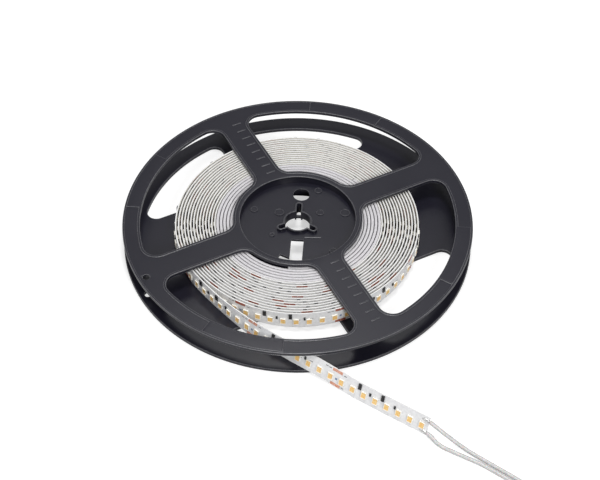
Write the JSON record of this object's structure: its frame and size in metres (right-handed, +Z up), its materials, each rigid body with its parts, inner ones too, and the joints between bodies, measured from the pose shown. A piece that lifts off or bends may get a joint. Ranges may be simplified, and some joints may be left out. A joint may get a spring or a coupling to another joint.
{
  "type": "led strip light reel",
  "caption": "Reel of flexible LED strip light: two open dark flanges on a hub, the strip wound on edge with its end pulled out, and two wires.",
  "frame": {"origin": "on the floor under the middle of the reel and its pulled out strip, leads left out", "axes": "+Z up along the reel's axis, +Y away from the pulled out end"},
  "size_m": [0.2078, 0.2693, 0.015],
  "materials": {
    "moulding": "charcoal moulded plastic, satin",
    "board": "white coated flexible circuit board",
    "foam": "off-white foam band",
    "phosphor": "white LED body with an amber phosphor face",
    "ceramic": "black chip resistor",
    "solder": "bright solder",
    "sleeve": "white PVC wire sleeve"
  },
  "bodies": {
    "root": {"lead_coil": "sleeve", "lead_lower": "sleeve", "lead_upper": "sleeve", "leader_band": "foam", "led_1": "phosphor", "led_2": "phosphor", "led_3": "phosphor", "led_4": "phosphor", "led_5": "phosphor", "led_6": "phosphor", "led_7": "phosphor", "led_8": "phosphor", "led_9": "phosphor", "led_10": "phosphor", "led_11": "phosphor", "led_12": "phosphor", "led_13": "phosphor", "led_14": "phosphor", "led_15": "phosphor", "led_16": "phosphor", "led_17": "phosphor", "led_18": "phosphor", "led_19": "phosphor", "led_20": "phosphor", "led_21": "phosphor", "led_22": "phosphor", "led_23": "phosphor", "led_24": "phosphor", "led_strip": "board", "reel_half_lower": "moulding", "reel_half_upper": "moulding", "resistor_1": "ceramic", "resistor_2": "ceramic", "resistor_3": "ceramic", "resistor_4": "ceramic", "resistor_5": "ceramic", "resistor_6": "ceramic", "resistor_7": "ceramic", "resistor_8": "ceramic", "resistor_9": "ceramic", "resistor_10": "ceramic", "resistor_11": "ceramic", "resistor_12": "ceramic", "solder_joint_lower": "solder", "solder_joint_upper": "solder"}
  },
  "joints": []
}
